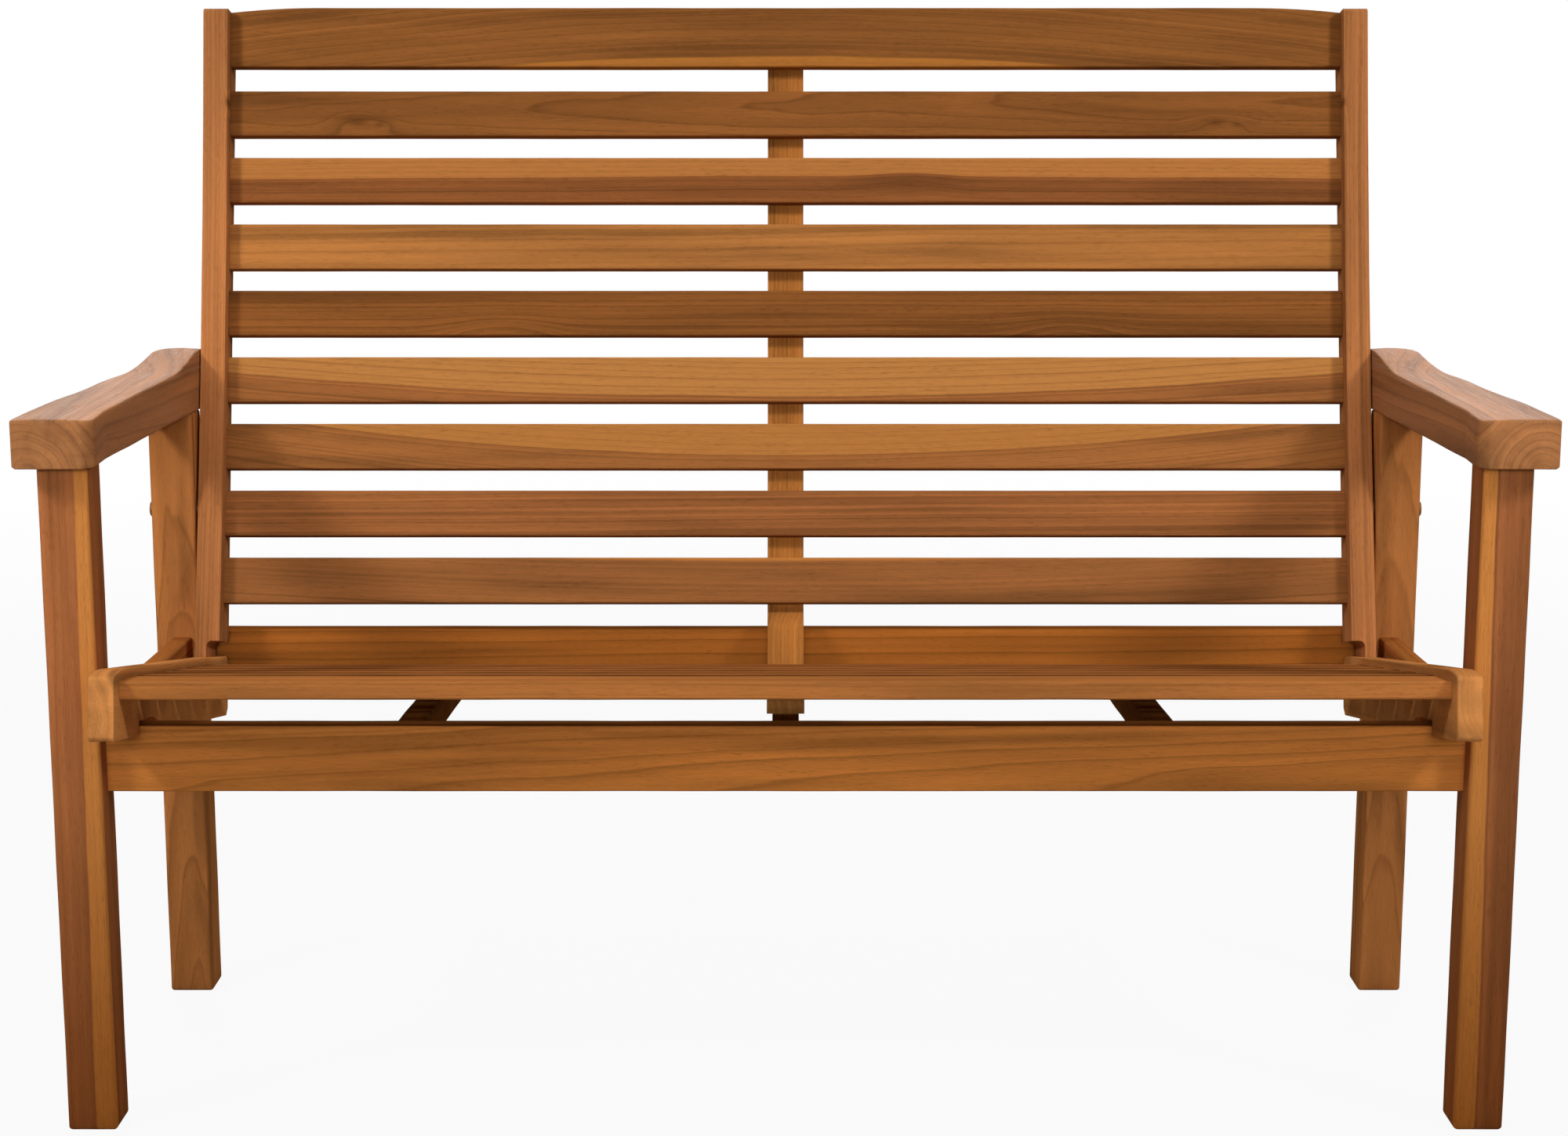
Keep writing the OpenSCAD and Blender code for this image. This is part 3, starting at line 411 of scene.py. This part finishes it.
def teak(name, where, heart, pith=(-60, 25), slope=(0, 0), bow=0.0, ring=4.5, figure=0.5, wave=1.0,
         sap=900.0, blur=1.2, sap_tone=sapwood, shine=0.0, knots=(), sheen_above=None, dark_edge=None,
         foot_shade_from=None):
    """Teak for one board, whose heartwood is seen as the colour heart. Lengths are in millimetres from the
    board's middle. pith is the tree's centre across and through the board, slope its drift for each metre of
    length and bow its curve for the square of a metre, so that rings cut long arches. Wood further from it
    than sap is pale. A knot (l, w, size, lift, dark) lifts the rings round it by lift * exp(-d^2), d counted
    in sizes, and darkens its middle. Above sheen_above through the board the top gets pale grey streaks of
    painted sheen. Beyond dark_edge across, the narrow faces are darkened with painted shade, and so is
    a foot, over foot_shade_reach below foot_shade_from along the board, as painted shade towards the floor."""
    wood = bpy.data.materials.new(name)
    wood.use_nodes = True
    tree = wood.node_tree
    coords = tree.nodes.new("ShaderNodeTexCoord")
    turn = tree.nodes.new("ShaderNodeMapping")
    turn.vector_type = "TEXTURE"
    turn.inputs["Location"].default_value = where.to_translation()
    turn.inputs["Rotation"].default_value = where.to_euler()
    turn.inputs["Scale"].default_value = (0.001, 0.001, 0.001)
    tree.links.new(coords.outputs["Object"], turn.inputs["Vector"])
    place = turn.outputs[0]
    split = tree.nodes.new("ShaderNodeSeparateXYZ")
    tree.links.new(place, split.inputs[0])
    l, w, t = split.outputs
    drift_w = sum_node(tree, "MULTIPLY_ADD", l, slope[0] / 1000, pith[0])
    drift_t = sum_node(tree, "MULTIPLY_ADD", l, slope[1] / 1000, pith[1])
    curve = sum_node(tree, "MULTIPLY", sum_node(tree, "MULTIPLY", l, l), bow / 1e6)
    drift_w = sum_node(tree, "ADD", drift_w, curve)
    off_w, off_t = sum_node(tree, "SUBTRACT", w, drift_w), sum_node(tree, "SUBTRACT", t, drift_t)
    off_t = sum_node(tree, "MULTIPLY", off_t, off_t)
    height = sum_node(tree, "SQRT", sum_node(tree, "MULTIPLY_ADD", off_w, off_w, off_t))

    core = None
    for knot_l, knot_w, size, lift, dark in knots:
        far_l = sum_node(tree, "DIVIDE", sum_node(tree, "SUBTRACT", l, knot_l), knot_long * size)
        far_w = sum_node(tree, "DIVIDE", sum_node(tree, "SUBTRACT", w, knot_w), knot_wide * size)
        far = sum_node(tree, "MULTIPLY_ADD", far_l, far_l, sum_node(tree, "MULTIPLY", far_w, far_w))
        hump = sum_node(tree, "POWER", euler_number, sum_node(tree, "MULTIPLY", far, -1.0))
        height = sum_node(tree, "MULTIPLY_ADD", hump, lift, height)
        eye_dark = sum_node(tree, "MULTIPLY", sum_node(tree, "POWER", hump, knot_core), dark)
        core = eye_dark if core is None else sum_node(tree, "MAXIMUM", core, eye_dark)

    grain = tree.nodes.new("ShaderNodeGroup")
    grain.node_tree = teak_figure
    tree.links.new(place, grain.inputs["Place"])
    tree.links.new(height, grain.inputs["Height"])
    for socket, value in (("Seed", seed_step * next(sawn_places)), ("Ring", ring), ("Figure", figure),
                          ("Wave", wave), ("Sap height", sap), ("Sap blur", blur),
                          ("Sap", colour(*sap_tone))):
        grain.inputs[socket].default_value = value
    for socket, share in wood_tones:
        grain.inputs[socket].default_value = colour(*(share * np.array(heart)))

    shown = grain.outputs["Color"]
    if core is not None:
        shown = mix_node(tree, core, shown, colour(*knot_colour))
    # Painted sheen: pale grey streaks on the top of the board, above the given height through it.
    if sheen_above is not None:
        sheen_noise = stretched_noise(tree, place, (120, 1.8, 1.8), detail=3.0, rough=0.6)
        sheen_streak = ramp_node(tree, sheen_noise, *sheen_tones, 0.0, sheen_share)
        sheen_streak = sum_node(tree, "MULTIPLY", sheen_streak, ramp_node(tree, t, sheen_above, sheen_above + sheen_blur))
        shown = mix_node(tree, sheen_streak, shown, colour(*sheen_grey))
    # Painted shade: the wood darkens towards the foot, over the reach below the given point along the board.
    if foot_shade_from is not None:
        foot_shade = ramp_node(tree, l, foot_shade_from - foot_shade_reach, foot_shade_from, foot_shade_share, 0.0)
        shown = mix_node(tree, foot_shade, shown, mix_node(tree, 1.0, shown, colour(*foot_shade_tint), "MULTIPLY"))
    # Painted shade: the narrow faces beyond the given distance across the board are darkened.
    if dark_edge is not None:
        off_middle = sum_node(tree, "ABSOLUTE", w)
        edge_shade = ramp_node(tree, off_middle, dark_edge, dark_edge + edge_shade_blur, 0.0, edge_shade_share)
        shown = mix_node(tree, edge_shade, shown, colour(*edge_shade_colour))

    finish = tree.nodes["Principled BSDF"]
    tree.links.new(shown, finish.inputs["Base Color"])
    tree.links.new(grain.outputs["Roughness"], finish.inputs["Roughness"])
    finish.inputs["Specular IOR Level"].default_value = shine
    bump = tree.nodes.new("ShaderNodeBump")
    bump.inputs["Strength"].default_value = relief_strength
    bump.inputs["Distance"].default_value = relief_mm / 1000
    tree.links.new(grain.outputs["Relief"], bump.inputs["Height"])
    tree.links.new(bump.outputs[0], finish.inputs["Normal"])
    return wood


def box_of(node):
    """Middle and size of a CAD node's box, as arrays."""
    low, high = (np.array(corner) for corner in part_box(node))
    return (low + high) / 2, high - low


def dress(piece, wood, slot, body, *stands_for):
    """Gives a finished piece its wood and its body, and lets it stand for its CAD nodes. The slot is not
    used.
    """
    piece.data.materials.append(wood)
    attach(piece, body)
    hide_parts(*stands_for)


both_sides = ((-1, "left"), (1, "right"))
leg_ease = 0.003
for side, name in both_sides:
    middle, size = box_of(f"front_leg_{name}")
    where = lie(middle, (0, 0, 1), (-side, 0, 0))
    leg = eased_board(f"{name}_front_leg", where, size[2], size[0], size[1], leg_ease, seed=11 + side)
    # The darkening towards the feet is painted shade.
    wood = teak(f"teak_{name}_front_leg", where, heart=(170, 104, 60), pith=(-60, -200 * side), slope=(11, 0),
                ring=2.2, figure=0.35, wave=0.15, sap=231.7, blur=0.5, sap_tone=(202, 130, 64),
                foot_shade_from=100.0)
    dress(leg, wood, "teak_frame", "frame", f"front_leg_{name}")


# Rear legs. The same square teak posts behind, with arched figure low down. Besides the armrests and the
# rails they carry the back, on a bolt through each of them.
for side, name in both_sides:
    middle, size = box_of(f"rear_leg_{name}")
    where = lie(middle, (0, 0, 1), (-side, 0, 0))
    leg = eased_board(f"{name}_rear_leg", where, size[2], size[0], size[1], leg_ease, seed=21 + side)
    wood = teak(f"teak_{name}_rear_leg", where, heart=(186, 118, 63), pith=(5, -40 * side),
                slope=(6, -45 * side), ring=6, figure=0.6)
    dress(leg, wood, "teak_frame", "frame", f"rear_leg_{name}")


# Armrests. Thick teak boards dowelled to the legs, with a crowned top, an outer edge hollowed in two
# stretches, an inner edge that flares in front, and a rear end that is swept up and rounded behind. The top
# carries pale grey streaks of painted sheen.
arm_width = 0.066
arm_thick = 0.042
arm_ease = 0.0022
arm_waist = 0.009
arm_waist_from = 0.090
arm_waist_l = 0.150
arm_taper = 0.013
arm_taper_from = 0.265
arm_taper_l = 0.150
arm_flare = 0.005
arm_flare_l = 0.064
arm_front_r = 0.012
arm_outer_round = 0.4
arm_rear_r = 0.030
arm_rise = 0.004
arm_sweep = 0.014
arm_sweep_l = 0.125
arm_crown = 0.0012


def smooth_step(x, start, reach):
    """0 before start and 1 past start + reach; between them 3 s^2 - 2 s^3 of the share s of the reach."""
    share = np.clip((x - start) / reach, 0, 1)
    return share ** 2 * (3 - 2 * share)


def armrest_shape(length, outer_sign):
    """Bends a plain board into an armrest. With y from the front, the outer edge is drawn in by two smooth
    steps, the waist and the taper, and the inner edge flares out by flare * (1 - y / its length). The first
    and last stretch of y are run along quarter circles, so that the corners are round in plan, the outer one
    in front by a share of the inner one. The top rises evenly, then by a smooth step over the swept end, and
    falls by the crown times the square of the share of the half width."""
    def bend(l, w, t):
        half = arm_width / 2
        w = outer_sign * w
        y = l + length / 2
        fore = np.clip(y / arm_front_r, 0, 1) * np.pi / 2
        aft = np.clip((y - length + arm_rear_r) / arm_rear_r, 0, 1) * np.pi / 2
        inner_round = arm_front_r * (1 - np.sin(fore))
        outer_round = arm_rear_r * (1 - np.cos(aft)) + arm_outer_round * inner_round
        y = np.where(y < arm_front_r, arm_front_r * (1 - np.cos(fore)), y)
        y = np.where(aft > 0, length - arm_rear_r + arm_rear_r * np.sin(aft), y)
        drawn_in = (arm_waist * smooth_step(y, arm_waist_from, arm_waist_l)
                    + arm_taper * smooth_step(y, arm_taper_from, arm_taper_l))
        flare = arm_flare * np.clip(1 - y / arm_flare_l, 0, 1)
        inner = -half - flare + inner_round
        outer = half - drawn_in - outer_round
        w = inner + (w + half) / arm_width * (outer - inner)
        rise = (arm_rise * np.clip(y / (length - arm_sweep_l), 0, 1)
                + arm_sweep * smooth_step(y, length - arm_sweep_l, arm_sweep_l))
        top = np.clip(t / arm_thick + 0.5, 0, 1)
        return y - length / 2, outer_sign * w, t + top * (rise - arm_crown * (w / half) ** 2)
    return bend


for side, name in both_sides:
    low, high = (np.array(corner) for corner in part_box(f"armrest_{name}"))
    inner_edge = min(abs(low[0]), abs(high[0])) + arm_flare
    length = high[1] - low[1]
    where = lie((side * (inner_edge + arm_width / 2), (low[1] + high[1]) / 2, low[2] + arm_thick / 2),
                (0, 1, 0), (-1, 0, 0))
    arm = eased_board(f"{name}_armrest", where, length, arm_width, arm_thick, arm_ease, seed=31 + side,
                      spacing=0.006, shape=armrest_shape(length, -side))
    # The pale streaks on the top are painted sheen.
    wood = teak(f"teak_{name}_armrest", where, heart=(168, 111, 67), pith=(-20 * side, -27),
                slope=(-10 * side, -10), ring=7, figure=0.6, wave=0.8, shine=0.03, sheen_above=16.0)
    dress(arm, wood, "teak_frame", "frame", f"armrest_{name}")


# Side rails. A teak board on edge between the front and the rear leg of each side, tenoned into both.
# Only the part in sight is made here.
rail_ease = 0.002
side_rail_l = 0.329


def straight_board(name, node, slot, body, along, across, width, thickness, length, seed, ease=rail_ease,
                   shape=None, **figure):
    """An eased board in the middle of its CAD node's box, with a teak of its own. The length is the part in
    sight: the rounded ends reach into the joints."""
    where = lie(box_of(node)[0], along, across)
    board = eased_board(name, where, length + 2 * ease, width, thickness, ease, seed, shape=shape)
    dress(board, teak(f"teak_{name}", where, **figure), slot, body, node)


for side, name in both_sides:
    node = f"side_rail_{name}"
    size = box_of(node)[1]
    straight_board(f"{name}_side_rail", node, "teak_frame", "frame", (0, 1, 0), (0, 0, 1), size[2], size[0],
                   side_rail_l, seed=41 + side, heart=(170, 102, 48), pith=(-60, 20))


# Front and rear rails. Two long teak boards on edge, tenoned between the legs. The front one, which the
# seat slides over, has long slanting lines, and its narrow faces are darkened with painted shade for the
# shade of the seat above it. The rear one is darker, with broad figure.
rail_thick = 0.022
front_rail_l = 2 * 0.593
rear_rail_l = 2 * 0.587
# The front rail's narrow faces get painted shade, for the shade under the seat.
straight_board("cross_rail_front", "front_rail", "teak_frame", "frame", (1, 0, 0), (0, 0, 1),
               box_of("front_rail")[1][2], rail_thick, front_rail_l, seed=45, heart=(208, 129, 60),
               pith=(-30, -25), slope=(16, 30), ring=9, figure=0.75, wave=1.5, dark_edge=28.6)
straight_board("cross_rail_rear", "rear_rail", "teak_frame", "frame", (1, 0, 0), (0, 0, 1),
               box_of("rear_rail")[1][2], rail_thick, rear_rail_l, seed=47, heart=(152, 88, 34),
               pith=(-60, 0), slope=(6, 12), ring=14, figure=0.8)


# Bearers. Three dark teak bars that tie the front rail to the rear one under the seat. They fall a little
# to the rear and are tenoned into both rails.
bearer_run = 0.348
bearer_drop = 0.020
bearer_height = 0.028
bearer_l = float(np.hypot(bearer_run, bearer_drop))
for number, name in enumerate(("left", "centre", "right")):
    node = f"bearer_{name}"
    straight_board(f"bearer_{name}_strut", node, "teak_frame", "frame", (0, bearer_run, -bearer_drop),
                   (0, bearer_drop, bearer_run), bearer_height, box_of(node)[1][0], bearer_l,
                   seed=51 + number, heart=(120, 72, 32), pith=(-40, 10))


# Back stiles. Two teak posts that lean back, with a hollow front edge. Below the bolt that the back turns
# on, each is cut down to a thin tongue that is halved into a seat cheek. They keep their CAD form, with
# the arrises eased.
back_lean = 13.5
stile_ease = 0.003
merge_within = 1e-6
flat_within_deg = 1.0
arris_from_deg = 35


def eased_copy(name, node, ease):
    """A merged copy of a CAD node, its flat faces joined up, whose arrises are rounded by a bevel with
    hardened normals."""
    source = bmesh.new()
    source.from_mesh(nodes[node].data)
    bmesh.ops.remove_doubles(source, verts=source.verts, dist=merge_within)
    bmesh.ops.dissolve_limit(source, angle_limit=np.radians(flat_within_deg), verts=source.verts,
                             edges=source.edges)
    mesh = bpy.data.meshes.new(name)
    source.to_mesh(mesh)
    source.free()
    mesh.polygons.foreach_set("use_smooth", np.ones(len(mesh.polygons), bool))
    piece = bpy.data.objects.new(name, mesh)
    bpy.context.scene.collection.objects.link(piece)
    round_over = piece.modifiers.new("eased_arrises", "BEVEL")
    round_over.width = ease
    round_over.segments = 3
    round_over.limit_method = "ANGLE"
    round_over.angle_limit = np.radians(arris_from_deg)
    round_over.harden_normals = True
    return piece


up_back = (0, np.sin(np.radians(back_lean)), np.cos(np.radians(back_lean)))
for side, name in both_sides:
    node = f"back_stile_{name}"
    where = lie(box_of(node)[0], up_back, (-side, 0, 0))
    stile = eased_copy(f"{name}_stile", node, stile_ease)
    wood = teak(f"teak_{name}_stile", where, heart=(174, 111, 64), pith=(-70, 10 * side), ring=3, figure=0.3,
                wave=0.5, knots=((255, 12, 4, -3, 0.6),))
    dress(stile, wood, "teak_back", "back", node)


# Centre stile. A thin teak post behind the slats, screwed to each of them from the rear, with its foot
# scooped forward below the last slat. It keeps its CAD form, with the arrises eased.
middle_stile_ease = 0.0015
where = lie(box_of("centre_stile")[0], up_back, (1, 0, 0))
stile = eased_copy("middle_stile", "centre_stile", middle_stile_ease)
wood = teak("teak_middle_stile", where, heart=(166, 104, 48), pith=(-70, 10), ring=3, figure=0.4)
dress(stile, wood, "teak_back", "back", "centre_stile")


# Top rail and back slats. Nine teak boards let into the stiles, each cut from a different place in the
# tree: pale sapwood along some, arches and small knots on others. The top rail's upper edge is drawn down
# towards the stiles.
slat_width = 0.0457
slat_thick = 0.018
slat_ease = 0.002
top_rail_h = 0.060
between_stiles = 2 * 0.5605
relief_start = between_stiles / 2 - 0.090
relief_reach = 0.100
relief_drop = 0.006


def lean_of(node, width, thickness, axis):
    """How far a slat's width leans towards an axis (1 is Y, 2 is Z), from its box. With the rounding taken
    off, the box is w sin + t cos along that axis and w cos + t sin along the other, so the sine is
    (w * the first - t * the second) / (w^2 - t^2)."""
    size = box_of(node)[1] - 2 * slat_ease
    w, t = width - 2 * slat_ease, thickness - 2 * slat_ease
    return np.arcsin((w * size[axis] - t * size[3 - axis]) / (w * w - t * t))


def top_rail_shape(l, w, t):
    """Draws the top rail's upper edge down at its ends by the square of the distance past the start."""
    past = np.clip((np.abs(l) - relief_start) / relief_reach, 0, 1)
    return l, w - relief_drop * past ** 2 * np.clip(w / top_rail_h + 0.5, 0, 1), t


back_woods = (
    dict(heart=(144, 90, 44), pith=(150, 0), bow=-130, sap=168, ring=7, figure=0.5, sap_tone=(178, 113, 50)),
    dict(heart=(139, 86, 42), pith=(8, -26), slope=(10, 20), ring=5, figure=0.7, wave=1.2,
         knots=((-432, -9, 9, 6, 0.5), (-410, -11, 5, 3, 0.45),
                (434, -9, 8, 6, 0.5), (455, -11, 5, 3, 0.45))),
    dict(heart=(139, 84, 44), pith=(-150, 0), bow=-10, sap=154, blur=0.9, ring=5, figure=0.5, wave=0.6,
         sap_tone=(178, 115, 59), knots=((127, -6, 13, -7, 0.0), (127, -12, 6, 4, 0.1))),
    dict(heart=(168, 109, 56), pith=(-70, -30), slope=(14, 0), ring=8, figure=0.4),
    dict(heart=(131, 80, 38), pith=(-80, -16), slope=(0, 4), ring=6, figure=0.8, wave=0.6,
         knots=((-285, -27, 15, -24, 0.0), (285, -27, 15, -24, 0.0))),
    dict(heart=(147, 92, 49), pith=(-150, 0), bow=77, sap=132, blur=3.0, ring=6, figure=0.8, wave=0.8,
         sap_tone=(174, 117, 61)),
    dict(heart=(149, 94, 49), pith=(-160, 0), bow=134, sap=150, blur=1.6, ring=6, figure=0.7, wave=0.6,
         sap_tone=(167, 110, 55)),
    dict(heart=(145, 90, 49), pith=(-90, 0), slope=(8, 0), ring=3.5, figure=0.5, wave=0.5),
    dict(heart=(141, 89, 48), pith=(-150, 0), bow=60, sap=168, blur=3.0, ring=4, figure=0.4, wave=0.5,
         sap_tone=(176, 112, 53)))
for number, wood in enumerate(back_woods):
    if number == 0:
        name, node, width, shape = "rail_of_the_back", "top_rail", top_rail_h, top_rail_shape
    else:
        name, node, width, shape = f"slat_of_the_back_{number}", f"back_slat_{number}", slat_width, None
    lean = lean_of(node, width, slat_thick, axis=1)
    straight_board(name, node, "teak_back", "back", (1, 0, 0), (0, np.sin(lean), np.cos(lean)), width,
                   slat_thick, between_stiles, seed=60 + number, ease=slat_ease, shape=shape, **wood)


# Seat cheeks. Two lighter teak boards that hold the seat's slats, with a nose in front, a notch that hooks
# over the front rail and a halving behind for the stile's tongue. They keep their CAD form, with the
# arrises eased.
seat_slope = 10.4
cheek_ease = 0.002
down_seat = (0, np.cos(np.radians(seat_slope)), -np.sin(np.radians(seat_slope)))
for side, name in both_sides:
    node = f"seat_cheek_{name}"
    where = lie(box_of(node)[0], down_seat, (-side, 0, 0))
    cheek = eased_copy(f"{name}_cheek", node, cheek_ease)
    wood = teak(f"teak_{name}_cheek", where, heart=(200, 132, 72), pith=(-70, 10), ring=7, figure=0.3)
    dress(cheek, wood, "teak_seat", "seat", node)


# Batten. A flat teak strip under the middle of the seat, screwed to all its slats from below. It keeps
# its CAD form, with the arrises eased.
batten_ease = 0.0012
where = lie(box_of("seat_batten")[0], down_seat, (1, 0, 0))
wood = teak("teak_batten", where, heart=(140, 92, 46), pith=(-70, 10))
dress(eased_copy("batten", "seat_batten", batten_ease), wood, "teak_seat", "seat", "seat_batten")


# Seat slats. Six teak boards let into the cheeks side by side. The narrow faces of all but the front
# one are darkened with painted shade, for the shade in the gaps between them. The front one lies flatter
# and is a little paler.
seat_slat_w = 0.046
seat_slat_t = 0.016
between_cheeks = 2 * 0.563
for number in range(1, 7):
    node = f"seat_slat_{number}"
    lean = lean_of(node, seat_slat_w, seat_slat_t, axis=2)
    # All but the front slat get painted shade on their narrow faces, where the gaps shade them.
    tone, edge = ((179, 112, 57), None) if number == 1 else ((160, 98, 50), 21.0)
    straight_board(f"slat_of_the_seat_{number}", node, "teak_seat", "seat", (1, 0, 0),
                   (0, np.cos(lean), -np.sin(lean)), seat_slat_w, seat_slat_t, between_cheeks,
                   seed=80 + number, ease=slat_ease, heart=tone, pith=(-40 - 9 * number, 30),
                   slope=(10, 10), ring=6, figure=0.5, dark_edge=edge)


# Steel fittings. The bolts, washers, inserts and sleeve nuts that the back and the seat turn on, and the
# screws behind the back and under the seat. They are turned steel with a dull brown finish.
mottle_scale = 300.0
mottle_tones = (0.3, 0.7)
brown_dark = (104, 70, 40)
brown_light = (128, 88, 52)
smoothest, roughest = 0.45, 0.6
mottle_mm, mottle_strength = 0.1, 0.2


def browned_steel():
    """Browned steel: dull, dark brown and a little mottled."""
    metal = bpy.data.materials.new("browned_steel")
    metal.use_nodes = True
    tree = metal.node_tree
    coords = tree.nodes.new("ShaderNodeTexCoord")
    noise = tree.nodes.new("ShaderNodeTexNoise")
    noise.inputs["Scale"].default_value = mottle_scale
    tree.links.new(coords.outputs["Object"], noise.inputs["Vector"])
    mottle = noise.outputs["Fac"]
    finish = tree.nodes["Principled BSDF"]
    finish.inputs["Metallic"].default_value = 1.0
    brown = mix_node(tree, mottle, colour(*brown_dark), colour(*brown_light))
    tree.links.new(brown, finish.inputs["Base Color"])
    tree.links.new(ramp_node(tree, mottle, *mottle_tones, smoothest, roughest), finish.inputs["Roughness"])
    bump = tree.nodes.new("ShaderNodeBump")
    bump.inputs["Strength"].default_value = mottle_strength
    bump.inputs["Distance"].default_value = mottle_mm / 1000
    tree.links.new(mottle, bump.inputs["Height"])
    tree.links.new(bump.outputs[0], finish.inputs["Normal"])
    return metal


def refinish(node, finish):
    """Gives a CAD node that stays in sight a new material."""
    nodes[node].data.materials.clear()
    nodes[node].data.materials.append(finish)


steel = browned_steel()
for node in ("recline_bolts", "recline_washers", "stile_inserts", "back_slat_screws", "seat_pivot_bolts",
             "seat_pivot_nuts", "batten_screws"):
    refinish(node, steel)


# Dowels. Eight turned teak pegs, four under each armrest, that hold it on its legs. They are glued in and
# out of sight.
dowel_middle_height = 0.595
where = lie((0, 0, dowel_middle_height), (0, 0, 1), (1, 0, 0))
refinish("arm_dowels", teak("teak_dowels", where, heart=(170, 110, 60)))
